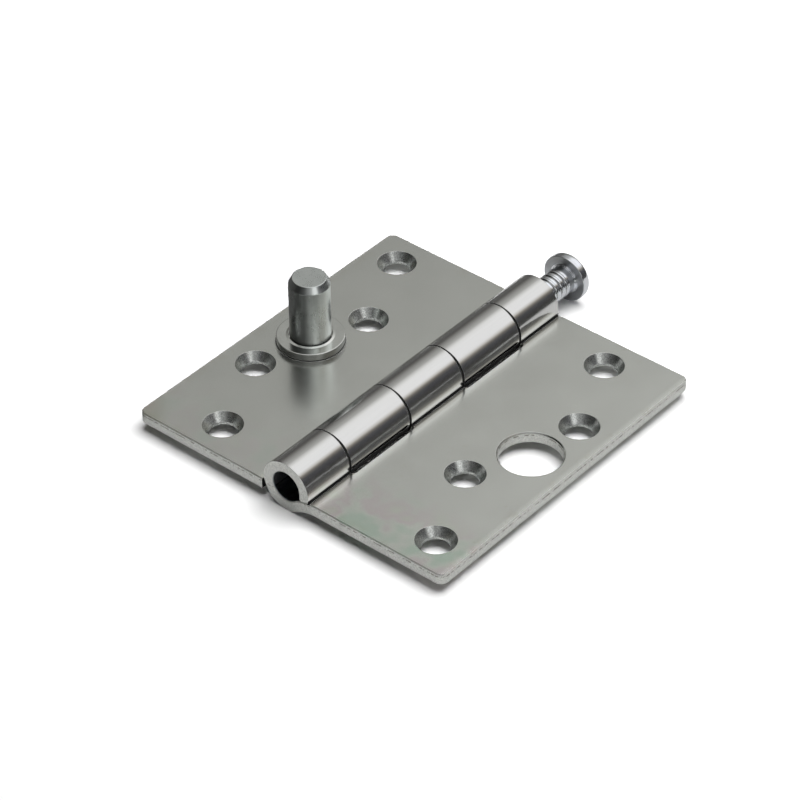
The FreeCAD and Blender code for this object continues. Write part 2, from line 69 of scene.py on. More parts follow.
PIN_LOW, PIN_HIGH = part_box("hinge_pin")
STUD_LOW, STUD_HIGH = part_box("security_stud")
COLLAR_LOW, COLLAR_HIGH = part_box("stud_collar")
LEAF_LOW, LEAF_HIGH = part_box("leaf_with_keeper_hole")
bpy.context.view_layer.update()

MOUNTS = {mount["name"]: mount for mount in frame["record"]["mounts"]}
BARREL_RADIUS = -LEAF_LOW.z
BORE_RADIUS = 3.75 * MM
CONE_RADIUS = 4.75 * MM
OUTER_SEAM = 30.15 * MM
INNER_SEAM = 9.4 * MM
FACE_Z = COLLAR_LOW.z
BACK_Z = STUD_LOW.z
FLOOR_Z = LEAF_LOW.z
FLOOR_HALF = 3.0
CARD_GAP = 0.05 * MM
CARD_TURNS = 96
TENT_TURNS = 64
TENT_ROWS = 16
NEAR_CLIP = 0.01
FAR_CLIP = 100.0
LEAST_ROUGHNESS = 0.05
BUMP_DEPTH = 0.004 * MM
WHITE = (1.0, 1.0, 1.0)
# Near black of the painted shade in the seams, gaps and hollows of the leaves, with some dirt under
# the roll's tip.
SHADE_AND_DIRT_BLACK = (0.012, 0.012, 0.012)


def length(name, description, millimetres):
    """Property for a length, whose default is given in millimetres."""
    return bpy.props.FloatProperty(
        name=name, description=description, default=millimetres * MM, unit="LENGTH",
        precision=5, min=0.0)


def colour(name, description, default):
    """Property for a colour of a finish."""
    return bpy.props.FloatVectorProperty(
        name=name, description=description, default=default, subtype="COLOR", size=3,
        min=0.0, max=1.0)


def share(name, description, default):
    """Property for a number between nothing and all."""
    return bpy.props.FloatProperty(
        name=name, description=description, default=default, subtype="FACTOR",
        min=0.0, max=1.0)


class HINGE_PG_leaves(bpy.types.PropertyGroup):
    """Finish of the two rolled leaves."""

    face: colour("Face", "Satin zinc of the flat faces", (0.805, 0.82, 0.78))
    barrel: colour("Barrel", "Burnished zinc of the rolled knuckles", (0.745, 0.745, 0.73))
    cut: colour("Cut edge", "Sheared and punched edges", (0.86, 0.87, 0.83))
    stain: colour("Stain", "Yellowish brown tint near edges and in the cones", (0.52, 0.44, 0.30))
    face_roughness: share("Face roughness", "Roughness of the flat faces", 0.24)
    barrel_roughness: share("Barrel roughness", "Roughness of the rolled knuckles", 0.17)
    cut_roughness: share("Cut roughness", "Roughness of the sheared edges", 0.48)
    edge_round: length("Edge rounding", "Rounding that the finish gives to sharp edges", 0.12)


class HINGE_PG_pin(bpy.types.PropertyGroup):
    """Hinge pin with its ribs and head."""

    zinc: colour("Zinc", "Bright zinc of the pin", (0.84, 0.86, 0.89))
    shank_radius: length("Shank radius", "Half the diameter of the shank", 3.55)
    head_height: length("Head height", "Thickness of the head", 2.5)
    head_round: length("Head rounding", "Rounding of the head's outer rim", 1.1)
    head_edge_round: length("Head edge rounding", "Rounding of the head's inner rim", 0.25)
    shoulder_rise: length("Shoulder rise", "How far the shoulder stands out", 0.3)
    shoulder_length: length("Shoulder length", "Round bead under the head, along the pin", 0.3)
    bead_round: length("Bead rounding", "Rounding of that bead", 0.14)
    tip_width: length("Tip width", "Chamfer at the tip, across", 0.9)
    tip_length: length("Tip length", "Chamfer at the tip, lengthwise", 1.6)
    rib_start: length("Rib start", "Last groove, from under the head", 3.4)
    rib_pitch: length("Rib pitch", "From groove to groove", 1.8)
    rib_depth: length("Rib depth", "Depth of a groove", 0.33)
    fine_depth: length("Fine depth", "Depth of the finer grooves between", 0.10)
    rib_count: bpy.props.IntProperty(
        name="Ribs", description="Grooves between the gripping ribs", default=4, min=1)


class HINGE_PG_stud(bpy.types.PropertyGroup):
    """Riveted stud."""

    steel: colour("Steel", "Turned steel of the stud", (0.79, 0.83, 0.81))
    neck_depth: length("Neck depth", "How much the stud narrows inside the collar", 0.2)
    collar_floor: length("Collar floor", "Height of the stud's shoulder over the leaf", 1.2)
    chamfer_width: length("Chamfer width", "Chamfer at the top, across", 0.9)
    chamfer_height: length("Chamfer height", "Chamfer at the top, upwards", 1.65)
    spigot_radius: length("Spigot radius", "Riveted end inside the leaf", 3.5)
    rivet_radius: length("Rivet radius", "Spread end of the spigot", 4.7)
    rivet_height: length("Rivet height", "Depth of the spread end", 1.1)
    edge_round: length("Edge rounding", "Rounding of the turned edges", 0.12)


class HINGE_PG_collar(bpy.types.PropertyGroup):
    """Collar round the foot of the stud."""

    steel: colour("Steel", "Turned steel of the collar", (0.82, 0.835, 0.80))
    recess_gap: length("Recess gap", "Between the stud and the recess", 0.25)
    spigot_hole_radius: length("Spigot hole", "Radius of the hole in the floor", 3.55)
    floor_height: length("Floor height", "Thickness under the stud's shoulder", 1.2)
    outer_round: length("Outer rounding", "Rounding of the outer top edge", 0.22)
    lip_width: length("Lip width", "Sloping lip round the recess, across", 0.6)
    lip_rise: length("Lip rise", "How far the lip stands above the collar's top", 0.17)
    lip_round: length("Lip rounding", "Rounding of the lip's edges", 0.06)


class HINGE_PG_studio(bpy.types.PropertyGroup):
    """Camera, floor and light."""

    azimuth: bpy.props.FloatProperty(
        name="Azimuth", description="Camera round the hinge", default=math.radians(40.23),
        subtype="ANGLE", unit="ROTATION")
    elevation: bpy.props.FloatProperty(
        name="Elevation", description="Camera above the horizon", default=math.radians(38.61),
        subtype="ANGLE", unit="ROTATION")
    roll: bpy.props.FloatProperty(
        name="Roll", description="Camera about its own line of sight",
        default=math.radians(-0.37), subtype="ANGLE", unit="ROTATION")
    distance: length("Distance", "From the aim point to the camera", 788.2)
    focal_px: bpy.props.FloatProperty(
        name="Focal length", description="In pixels of the square image", default=3474.2)
    aim: bpy.props.FloatVectorProperty(
        name="Aim point", description="Point in the middle of the image",
        default=(-1.372 * MM, -3.836 * MM, -1.3 * MM), subtype="XYZ", unit="LENGTH", size=3)
    tent_radius: length("Tent radius", "Radius of the light tent", 800.0)
    floor_tone: share("Floor tone", "Colour of the floor as it lights the hinge", 0.35)
    floor_gain: bpy.props.FloatProperty(
        name="Floor gain", description="Colour of the floor as the camera sees it",
        default=1.3, min=1.0)
    plain_floor: length("Plain floor", "Radius of the floor without further gain", 150.0)
    mirror_share: share("Mirrored floor", "How much of that gain the metal mirrors", 0.325)
    card_edge: length("Card edge", "Dark card on the floor, from the pin", 47.0)
    card_radius: length("Card radius", "Dark ring of card round the hinge", 150.0)
    card_height: length("Card height", "Height of the dark ring of card", 37.5)


class Field:
    """A value that varies over a surface. It wraps an output socket, and sums on it add nodes."""

    def __init__(self, finish, socket):
        self.finish = finish
        self.socket = socket

    def math(self, operation, *values):
        return self.finish.node("ShaderNodeMath", {"operation": operation},
                                dict(zip(("Value", "Value_001", "Value_002"), values)))

    def __add__(self, other):
        return self.math("ADD", self, other)

    def __sub__(self, other):
        return self.math("SUBTRACT", self, other)

    def __rsub__(self, other):
        return self.math("SUBTRACT", other, self)

    def __mul__(self, other):
        return self.math("MULTIPLY", self, other)

    def __truediv__(self, other):
        return self.math("DIVIDE", self, other)

    def __pow__(self, other):
        return self.math("POWER", self, other)

    def __abs__(self):
        return self.math("ABSOLUTE", self)

    __radd__ = __add__
    __rmul__ = __mul__

    def least(self, other):
        return self.math("MINIMUM", self, other)

    def most(self, other):
        return self.math("MAXIMUM", self, other)

    def rise(self, low, high):
        """Soft step from 0 at low to 1 at high, or falling where low is the larger."""
        return self.finish.node(
            "ShaderNodeMapRange", {"interpolation_type": "SMOOTHSTEP"},
            {"Value": self, "From Min": low, "From Max": high})

    def split(self):
        """The three coordinates of a vector."""
        parts = self.finish.node("ShaderNodeSeparateXYZ", {}, {"Vector": self}, None)
        return [Field(self.finish, socket) for socket in parts.outputs]


class Finish:
    """Node tree of a material or of the world."""

    def __init__(self, tree):
        self.tree = tree
        tree.nodes.clear()

    def node(self, kind, settings, inputs, output=0):
        """New node: its settings first, then the values or links of its sockets by identifier.

        Gives the output with that number or name, or the node itself for None.
        """
        made = self.tree.nodes.new(kind)
        for name, setting in settings.items():
            if name == "stops":
                self.set_stops(made.color_ramp, setting)
            else:
                setattr(made, name, setting)
        sockets = {socket.identifier: socket for socket in made.inputs}
        for name, given in inputs.items():
            if isinstance(given, Field):
                self.tree.links.new(given.socket, sockets[name])
            elif sockets[name].type == "RGBA":
                sockets[name].default_value = (*given, 1.0)
            else:
                sockets[name].default_value = given
        return made if output is None else Field(self, made.outputs[output])

    @staticmethod
    def set_stops(ramp, stops):
        """Colours of a ramp, each with its place between 0 and 1."""
        for element, (place, tint) in zip(ramp.elements, (stops[0], stops[-1])):
            element.position = place
            element.color = (*tint, 1.0)
        for place, tint in stops[1:-1]:
            ramp.elements.new(place).color = (*tint, 1.0)

    def place(self):
        """Object coordinates, in metres."""
        return self.node("ShaderNodeTexCoord", {}, {}, "Object")

    def facing(self):
        """Direction that the surface faces, in the piece's own frame."""
        return self.node("ShaderNodeTexCoord", {}, {}, "Normal")

    def noise(self, size, detail=3.0, roughness=0.55, stretch=(1.0, 1.0, 1.0)):
        """Soft noise from 0 to 1 with features of that size, longer along stretch's directions."""
        scale = tuple(1.0 / (size * long) for long in stretch)
        mapped = self.node("ShaderNodeMapping", {}, {"Vector": self.place(), "Scale": scale})
        return self.node("ShaderNodeTexNoise", {}, {
            "Vector": mapped, "Scale": 1.0, "Detail": detail, "Roughness": roughness})

    def mix(self, factor, first, second, blend="MIX"):
        """Colour from first to second."""
        return self.node("ShaderNodeMix", {"data_type": "RGBA", "blend_type": blend}, {
            "Factor_Float": factor, "A_Color": first, "B_Color": second}, 2)

    def shade(self, tint, factor):
        """Colour made lighter or darker by a number."""
        grey = self.node("ShaderNodeCombineXYZ", {}, {"X": factor, "Y": factor, "Z": factor})
        return self.mix(1.0, tint, grey, "MULTIPLY")

    def bump(self, height, depth, normal=None):
        """Normal for a relief of that height, from 0 to 1, and depth."""
        inputs = {"Height": height, "Distance": depth, "Strength": 1.0}
        if normal:
            inputs["Normal"] = normal
        return self.node("ShaderNodeBump", {}, inputs)

    def rounded(self, edge_round):
        """Normal of the surface with its sharp edges rounded so far."""
        return self.node("ShaderNodeBevel", {"samples": 6}, {"Radius": edge_round})

    def turned(self, normal, angle):
        """Normal n turned about the pin by a small angle a: n + a (Y x n)."""
        across = self.node("ShaderNodeVectorMath", {"operation": "CROSS_PRODUCT"}, {
            "Vector": (0.0, 1.0, 0.0), "Vector_001": normal})
        step = self.node("ShaderNodeVectorMath", {"operation": "SCALE"}, {
            "Vector": across, "Scale": angle})
        return self.node("ShaderNodeVectorMath", {"operation": "ADD"}, {
            "Vector": normal, "Vector_001": step})

    def metal(self, base, roughness, normal, metallic=1.0):
        """Metal surface as the material's output."""
        shader = self.node("ShaderNodeBsdfPrincipled", {}, {
            "Base Color": base, "Metallic": metallic, "Roughness": roughness, "Normal": normal})
        self.node("ShaderNodeOutputMaterial", {}, {"Surface": shader}, None)

    def glow(self, tint):
        """Black surface that glows in that colour, as the material's output."""
        shader = self.node("ShaderNodeBsdfPrincipled", {}, {
            "Base Color": (0.0, 0.0, 0.0), "Specular IOR Level": 0.0, "Roughness": 1.0,
            "Emission Color": tint, "Emission Strength": 1.0})
        self.node("ShaderNodeOutputMaterial", {}, {"Surface": shader}, None)

    def is_mirrored(self):
        """One for rays that come from a reflection or through glass, else nothing."""
        path = self.node("ShaderNodeLightPath", {}, {}, None)
        return Field(self, path.outputs["Is Glossy Ray"]).most(
            Field(self, path.outputs["Is Transmission Ray"]))


def new_material(name):
    """Empty material, and the Finish that fills it."""
    material = bpy.data.materials.new(name)
    material.use_nodes = True
    return material, Finish(material.node_tree)


def hole_distance(x, y, side):
    """Distance from the middle of the nearest screw hole of that leaf."""
    leaf = "keeper_leaf" if side > 0 else "stud_leaf"
    nearest = None
    for column in ("inner", "outer"):
        mount = MOUNTS[f"{leaf}_{column}_screws"]
        centre_x, centre_y, _ = mount["pos_m"]
        half = mount["dims"]["spacing_y_mm"] * MM / 2
        across = x - centre_x
        along = abs(y - centre_y) - half
        away = (across * across + along * along) ** 0.5
        nearest = away if nearest is None else nearest.least(away)
    return nearest


def leaf_material(name, sizes, side):
    """Zinc sheet: satin faces, burnished barrel, sheared edges, mottled cones, painted shade and
    highlight.
    """
    material, finish = new_material(name)
    x, y, z = finish.place().split()
    _, normal_y, normal_z = finish.facing().split()
    across = side * x

    radius = (x * x + z * z) ** 0.5
    on_barrel = abs(radius - BARREL_RADIUS).rise(0.3 * MM, 0.05 * MM)
    upright = abs(normal_z).rise(0.45, 0.25)
    on_end = abs(normal_y).rise(0.8, 0.95)
    cut = (upright * (1 - on_barrel)).most(on_end)
    hole = hole_distance(x, y, side)
    in_cone = hole.rise(CONE_RADIUS + 0.10 * MM, CONE_RADIUS - 0.03 * MM)
    in_cone = in_cone * z.rise(FACE_Z - 0.01 * MM, FACE_Z - 0.06 * MM)

    cloud = finish.noise(14 * MM, 4.0)
    grain = finish.noise(0.35 * MM, 2.0, 0.6)
    streaks = finish.noise(0.5 * MM, 2.0, 0.5, (1.0, 30.0, 1.0))
    speck = finish.noise(0.55 * MM, 1.0).rise(0.70, 0.78)
    patch = finish.noise(5 * MM, 3.0)

    face = finish.shade(sizes.face, 0.91 + 0.12 * cloud + 0.06 * grain)
    film = finish.node("ShaderNodeValToRGB", {"stops": [
        (0.34, (0.81, 0.95, 0.87)), (0.45, (0.97, 1.0, 0.97)), (0.54, (0.97, 0.88, 0.93)),
        (0.66, (0.95, 0.98, 0.91))]}, {"Fac": finish.noise(9 * MM, 2.0)})
    film_area = y.rise(-24 * MM, -38 * MM) * across.rise(4 * MM, 12 * MM)
    film_area = film_area * (0.9 if side > 0 else 0.25)
    face = finish.mix(film_area, face, finish.mix(1.0, face, film, "MULTIPLY"))
    face = finish.mix(speck * 0.22, face, sizes.stain)
    barrel = finish.shade(sizes.barrel, 0.97 + 0.06 * streaks)

    depth = FACE_Z - z
    shear_line = depth.rise(0.50 * MM, 0.62 * MM) * depth.rise(0.98 * MM, 0.82 * MM)
    broken = finish.noise(1.2 * MM, 3.0, 0.7).rise(0.46, 0.56)
    rough_cut = finish.noise(0.45 * MM, 3.0, 0.75)
    edge = finish.shade(sizes.cut, 0.42 + 1.0 * rough_cut)
    edge = finish.mix(shear_line * broken * 0.75, edge, (0.16, 0.14, 0.10))
    pitted = finish.noise(0.30 * MM, 2.0, 0.7)
    cone = finish.shade((0.97, 1.0, 0.97), 0.50 + 0.45 * pitted.rise(0.32, 0.66))
    cone = finish.mix(patch.rise(0.55, 0.75) * 0.25, cone, sizes.stain)

    from_side = LEAF_HIGH.x - across
    from_rim = from_side.least(LEAF_HIGH.y - abs(y))
    # Painted highlight along the leaf's outer rim, stronger on the keeper leaf; the same mask also
    # roughens the relief.
    rolled_rim = from_side.rise(1.8 * MM, 0.0) * (0.4 if side > 0 else 0.1)
    face = finish.shade(face, 1 + rolled_rim * (0.5 + 1.2 * rough_cut.rise(0.52, 0.66)))
    tarnish = from_rim.rise(3.5 * MM, 0.0) * patch.rise(0.52, 0.66) * 0.12
    if side < 0:
        front_corner = (from_side + LEAF_HIGH.y + y).rise(11 * MM, 3 * MM)
        tarnish = tarnish.most(front_corner * (0.15 + 0.35 * patch))
    face = finish.mix(tarnish, face, sizes.stain)

    # Painted shade in the seams between the knuckles, wider towards +x.
    from_seam = abs(abs(y) - OUTER_SEAM).least(abs(abs(y) - INNER_SEAM))
    seam_width = 0.25 * MM + 0.18 * MM * x.rise(1.0 * MM, 6.0 * MM)
    in_seam = on_barrel * (seam_width - from_seam).rise(0.0, 0.08 * MM)
    # Painted shade in the gap where a knuckle passes the other leaf's edge.
    in_gap = on_barrel * z.rise(-0.9 * MM, -1.4 * MM) * z.rise(-4.6 * MM, -3.4 * MM)
    in_gap = in_gap * across.rise(0.0, -0.2 * MM) * 0.88
    in_bore = radius.rise(BORE_RADIUS + 0.14 * MM, BORE_RADIUS + 0.06 * MM)

    base = finish.mix(on_barrel, face, barrel)
    base = finish.mix(cut, base, edge)
    base = finish.mix(in_cone, base, cone)
    # Painted shade inside the bore: a darker, speckled grey.
    base = finish.mix(in_bore, base, finish.shade((0.30, 0.32, 0.33), 0.5 + pitted))
    # Painted shade on the cut walls of the notch beside the knuckle.
    in_notch = cut * across.rise(8.6 * MM, 8.3 * MM) * across.rise(6.6 * MM, 7.0 * MM)
    in_notch = in_notch * (1 - on_end)
    # Painted contact shade, with some dirt, along the line under the roll's tip.
    under_tip = across.rise(6.05 * MM, 6.15 * MM) * across.rise(6.95 * MM, 6.80 * MM)
    under_tip = under_tip * z.rise(-0.95 * MM, -1.05 * MM) * (1 - on_end)
    # All painted shade, with some dirt under the tip: near black, not metallic and rough.
    shade_and_dirt = in_seam.most(in_gap).most(in_notch).most(under_tip)
    if side < 0:
        # Painted shade on the face round the foot of the collar.
        foot_x = x - (COLLAR_LOW.x + COLLAR_HIGH.x) / 2
        collar_radius = (COLLAR_HIGH.x - COLLAR_LOW.x) / 2
        from_foot = (foot_x * foot_x + y * y) ** 0.5 - collar_radius
        on_face = z.rise(FACE_Z - 0.5 * MM, FACE_Z - 0.1 * MM)
        shade_and_dirt = shade_and_dirt.most(from_foot.rise(0.40 * MM, 0.0) * on_face * 0.9)
    base = finish.mix(shade_and_dirt, base, SHADE_AND_DIRT_BLACK)

    rough = sizes.face_roughness + 0.10 * (cloud - 0.5) + 0.06 * (grain - 0.5)
    rough = rough + on_barrel * (sizes.barrel_roughness - sizes.face_roughness)
    rough = rough + cut * (sizes.cut_roughness - sizes.face_roughness)
    on_rim = from_rim.rise(0.35 * MM, 0.15 * MM) * (1 - cut) * (1 - on_barrel)
    rough = (rough + in_cone * 0.04 + on_rim * 0.35).most(shade_and_dirt * 0.9).most(LEAST_ROUGHNESS)

    relief = grain * 0.15 + cloud * 2 + streaks * on_barrel * 0.4
    relief = relief + (cut * 3 + rolled_rim * 6) * rough_cut + in_cone * pitted * 1.5
    tightening = x.rise(2.4 * MM, 4.4 * MM) * on_barrel * (0.04 if side > 0 else -0.12)
    normal = finish.turned(finish.rounded(sizes.edge_round), tightening)
    normal = finish.bump(relief, BUMP_DEPTH, normal)
    finish.metal(base, rough, normal, 1 - shade_and_dirt)
    return material


def turned_material(name, tint, roughness, streak_stretch, mottle, shaded):
    """Turned and plated steel, with fine streaks and mottled plating.

    shaded(finish) gives one more factor of the colour, which paints light and shade on the piece,
    and how much rougher the surface is.
    """
    material, finish = new_material(name)
    streaks = finish.noise(0.25 * MM, 3.0, 0.6, streak_stretch)
    cloud = finish.noise(3.5 * MM, 4.0, 0.6)
    speck = finish.noise(0.5 * MM, 2.0).rise(0.66, 0.76)
    tone = (1 - mottle / 2) + mottle * cloud + 0.24 * (streaks - 0.5)
    factor, rougher = shaded(finish)
    base = finish.shade(tint, tone * factor)
    base = finish.mix(speck * 0.25, base, (0.40, 0.38, 0.33))
    rough = roughness + 0.12 * (cloud - 0.5) + 0.08 * (streaks - 0.5) + rougher
    relief = streaks + cloud * 0.5
    finish.metal(base, rough.most(LEAST_ROUGHNESS), finish.bump(relief, BUMP_DEPTH))
    return material


def rounded_profile(corners):
    """Profile of (radius, height) points whose corners (radius, height, rounding) are rounded.

    A corner C becomes the parabola (1-t)^2 A + 2t(1-t) C + t^2 B, where A and B lie on its two
    sides, as far from C as its rounding. One more point on each side keeps that side flat, at a
    sharp corner too.
    """
    table = np.array(corners, float)
    corner, rounding = table[:, :2], table[:, 2:]
    before = np.roll(corner, 1, axis=0) - corner
    after = np.roll(corner, -1, axis=0) - corner
    before /= np.linalg.norm(before, axis=1, keepdims=True)
    after /= np.linalg.norm(after, axis=1, keepdims=True)
    start = (corner + before * rounding)[:, None]
    end = (corner + after * rounding)[:, None]
    t = np.linspace(0.0, 1.0, ROUND_STEPS + 1)[None, :, None]
    curve = (1 - t) ** 2 * start + 2 * t * (1 - t) * corner[:, None] + t ** 2 * end
    hold = np.maximum(HOLD_SHARE * rounding, LEAST_HOLD)[:, None]
    hold[corner[:, 0] == 0.0] = 0.0
    points = np.concatenate(
        [start + before[:, None] * hold, curve, end + after[:, None] * hold], axis=1)
    points = points.reshape(-1, 2)
    step = np.linalg.norm(np.diff(points, axis=0, prepend=np.inf), axis=1)
    return points[step > SAME_POINT]


def turned_piece(name, profile, origin, lie_along_y=False, is_ring=False):
    """Piece turned from a profile: (radius cos a, radius sin a, height) for all angles a.

    A profile that starts and ends on the axis is closed there by merging each pole's points. A
    ring's profile is joined end to start. Laid along +Y, a point (x, y, z) becomes (x, z, -y).
    """
    angle = np.linspace(0.0, 2 * np.pi, TURN_SEGMENTS, endpoint=False)
    radius, height = profile[:, :1], profile[:, 1:]
    points = np.stack(np.broadcast_arrays(
        radius * np.cos(angle), radius * np.sin(angle), height), -1)
    if lie_along_y:
        points = points[..., [0, 2, 1]] * (1.0, 1.0, -1.0)
    points = points + np.array(origin)
    rows = len(profile)
    index = np.arange(rows * TURN_SEGMENTS).reshape(rows, TURN_SEGMENTS)
    upper = np.roll(index, -1, axis=0) if is_ring else index[1:]
    lower = index if is_ring else index[:-1]
    quads = np.stack([lower, np.roll(lower, -1, axis=1), np.roll(upper, -1, axis=1), upper], -1)
    mesh = bpy.data.meshes.new(name)
    mesh.from_pydata(points.reshape(-1, 3).tolist(), [], quads.reshape(-1, 4).tolist())
    shell = bmesh.new()
    shell.from_mesh(mesh)
    bmesh.ops.remove_doubles(shell, verts=shell.verts, dist=SAME_POINT)
    shell.to_mesh(mesh)
    shell.free()
    mesh.polygons.foreach_set("use_smooth", np.ones(len(mesh.polygons), bool))
    piece = bpy.data.objects.new(name, mesh)
    bpy.context.scene.collection.objects.link(piece)
    return piece


def stand_in(piece, material, body, node):
    """Dress a new piece and put it in the place of its CAD node."""
    piece.data.materials.append(material)
    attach(piece, body)
    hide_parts(node)


class HINGE_OT_leaves(bpy.types.Operator):
    """Give both rolled leaves their zinc finish"""

    bl_idname = "hinge.leaves"
    bl_label = "Leaves"

    def execute(self, context):
        sizes = context.scene.hinge_leaves
        for node, side in (("leaf_with_keeper_hole", 1), ("leaf_with_stud", -1)):
            leaf = frame["nodes"][node]
            material = leaf_material(f"zinc_{node}", sizes, side)
            for place in leaf.material_slots:
                place.material = material
        return {"FINISHED"}


class HINGE_OT_pin(bpy.types.Operator):
    """Turn the hinge pin, with its ribs, shoulder and rounded head"""

    bl_idname = "hinge.pin"
    bl_label = "Hinge pin"

    def execute(self, context):
        sizes = context.scene.hinge_pin
        head_radius = PIN_HIGH.x
        far_face = PIN_HIGH.y
        under_head = far_face - sizes.head_height
        shank = sizes.shank_radius
        shoulder = shank + sizes.shoulder_rise
        last_groove = under_head - sizes.rib_start
        first_groove = last_groove - sizes.rib_pitch * (sizes.rib_count - 1)
        fine = 0.2 * MM
        tip = rounded_profile([
            (0.0, PIN_LOW.y, 0.0),
            (shank - sizes.tip_width, PIN_LOW.y, fine),
            (shank, PIN_LOW.y + sizes.tip_length, fine),
            (shank, first_groove - sizes.rib_pitch / 2, 0.0)])
        ribs = self.rib_profile(sizes, shank, first_groove)
        head = rounded_profile([
            (shank, last_groove + sizes.rib_pitch / 2, 0.0),
            (shank, under_head - sizes.shoulder_length, 0.0),
            (shoulder, under_head - sizes.shoulder_length, sizes.bead_round),
            (shoulder, under_head, 0.0),
            (head_radius, under_head, sizes.head_edge_round),
            (head_radius, far_face, sizes.head_round),
            (0.0, far_face, 0.0)])
        profile = np.concatenate([tip[:-1], ribs, head[1:]])
        pin = turned_piece("pin_with_ribs", profile, (0.0, 0.0, 0.0), lie_along_y=True)
        along = 40.0
        material = turned_material(
            "bright_zinc", sizes.zinc, 0.13, (along, 1.0, along), 0.12, self.underside)
        stand_in(pin, material, "pin", "hinge_pin")
        return {"FINISHED"}

    @staticmethod
    def underside(finish):
        """Painted shade: darker colour on the head's underside, which is also rougher, and in the
        grooves.
        """
        x, y, z = finish.place().split()
        normal_y = finish.facing().split()[1]
        radius = (x * x + z * z) ** 0.5
        disc = normal_y.rise(-0.90, -0.97) * radius.rise(3.9 * MM, 4.1 * MM) * y.rise(0.0, 10 * MM)
        groove = radius.rise(3.48 * MM, 3.32 * MM) * y.rise(40 * MM, 42 * MM)
        return 1 - disc.most(groove) * 0.42, disc * 0.20

    @staticmethod
    def rib_profile(sizes, shank, first_groove):
        """Shank with narrow grooves, cut in by depth times a high power of a raised cosine.

        A finer groove lies half way between every two of them.
        """
        start = first_groove - sizes.rib_pitch / 2
        end = start + sizes.rib_pitch * sizes.rib_count
        steps_per_rib = 24
        along = np.linspace(start, end, steps_per_rib * sizes.rib_count + 1)
        wave = 0.5 + 0.5 * np.cos(2 * np.pi * (along - first_groove) / sizes.rib_pitch)
        cut = sizes.rib_depth * wave ** 6 + sizes.fine_depth * (1 - wave) ** 12
        return np.stack([shank - cut, along], axis=1)


class HINGE_OT_stud(bpy.types.Operator):
    """Turn the riveted stud, with its chamfered top"""

    bl_idname = "hinge.stud"
    bl_label = "Security stud"

    def execute(self, context):
        sizes = context.scene.hinge_stud
        radius = (STUD_HIGH.x - STUD_LOW.x) / 2
        top = STUD_HIGH.z
        collar_top = COLLAR_HIGH.z
        seat = FACE_Z + sizes.collar_floor
        neck = radius - sizes.neck_depth
        fine = sizes.edge_round
        profile = rounded_profile([
            (0.0, BACK_Z, 0.0),
            (sizes.rivet_radius, BACK_Z, 0.0),
            (sizes.spigot_radius, BACK_Z + sizes.rivet_height, 0.0),
            (sizes.spigot_radius, seat, 0.0),
            (neck, seat, 0.0),
            (neck, collar_top - sizes.neck_depth, fine),
            (radius, collar_top, fine),
            (radius, top - sizes.chamfer_height, fine),
            (radius - sizes.chamfer_width, top, fine),
            (0.0, top, 0.0)])
        middle = (STUD_HIGH + STUD_LOW) / 2
        stud = turned_piece("stud_turned", profile, (middle.x, middle.y, 0.0))
        upward = 25.0
        material = turned_material(
            "stud_zinc", sizes.steel, 0.29, (1.0, 1.0, upward), 0.34, self.shaft_shade)
        stand_in(stud, material, "stud_leaf", "security_stud")
        return {"FINISHED"}

    @staticmethod
    def shaft_shade(finish):
        """Painted shade on both sides of the shaft, a painted highlight between, and painted shade
        where it enters the collar.
        """
        z = finish.place().split()[2]
        normal_x, normal_y, normal_z = finish.facing().split()
        level = abs(normal_z).rise(0.9, 0.97)
        # Painted shade and highlight across the shaft by the way it faces.
        sideways = 0.76 * normal_x + 0.65 * normal_y
        shaft = 0.5 + 0.6 * sideways.rise(-0.28, 0.2) - 0.3 * sideways.rise(0.4, 0.9)
        # Painted shade on the shaft where it enters the collar.
        out_of_foot_shade = z.rise(COLLAR_HIGH.z, COLLAR_HIGH.z + 1.2 * MM).most(
            z.rise(FACE_Z, BACK_Z + 0.5 * MM))
        return (shaft * (1 - level) + level) * (0.25 + 0.75 * out_of_foot_shade), 0.0


class HINGE_OT_collar(bpy.types.Operator):
    """Turn the collar round the foot of the stud"""

    bl_idname = "hinge.collar"
    bl_label = "Stud collar"

    def execute(self, context):
        sizes = context.scene.hinge_collar
        outer = (COLLAR_HIGH.x - COLLAR_LOW.x) / 2
        recess = (STUD_HIGH.x - STUD_LOW.x) / 2 + sizes.recess_gap
        floor = FACE_Z + sizes.floor_height
        top = COLLAR_HIGH.z
        profile = rounded_profile([
            (sizes.spigot_hole_radius, FACE_Z, 0.0),
            (outer, FACE_Z, 0.0),
            (outer, top, sizes.outer_round),
            (recess + sizes.lip_width, top, sizes.lip_round),
            (recess, top + sizes.lip_rise, sizes.lip_round),
            (recess, floor, 0.0),
            (sizes.spigot_hole_radius, floor, 0.0)])
        middle = (COLLAR_HIGH + COLLAR_LOW) / 2
        collar = turned_piece("collar_turned", profile, (middle.x, middle.y, 0.0), is_ring=True)
        around = 40.0
        material = turned_material(
            "collar_zinc", sizes.steel, 0.17, (around, around, 1.0), 0.24, self.wall_shade)
        stand_in(collar, material, "stud_leaf", "stud_collar")
        return {"FINISHED"}

    @staticmethod
    def wall_shade(finish):
        """Painted shade on the wall: darker colour, darkest away from the barrel and at its foot."""
        z = finish.place().split()[2]
        normal_x, normal_y, normal_z = finish.facing().split()
        wall = abs(normal_z).rise(0.5, 0.2) * z.rise(COLLAR_HIGH.z, COLLAR_HIGH.z - 0.2 * MM)
        inside = normal_x.math("MULTIPLY", 0.8) - normal_y * 0.2
        foot = z.rise(FACE_Z + 0.30 * MM, FACE_Z + 0.15 * MM)
        dark = wall * (0.95 - 0.80 * inside.rise(0.2, 0.75))
        return 1 - dark.most(foot * 0.95), 0.0


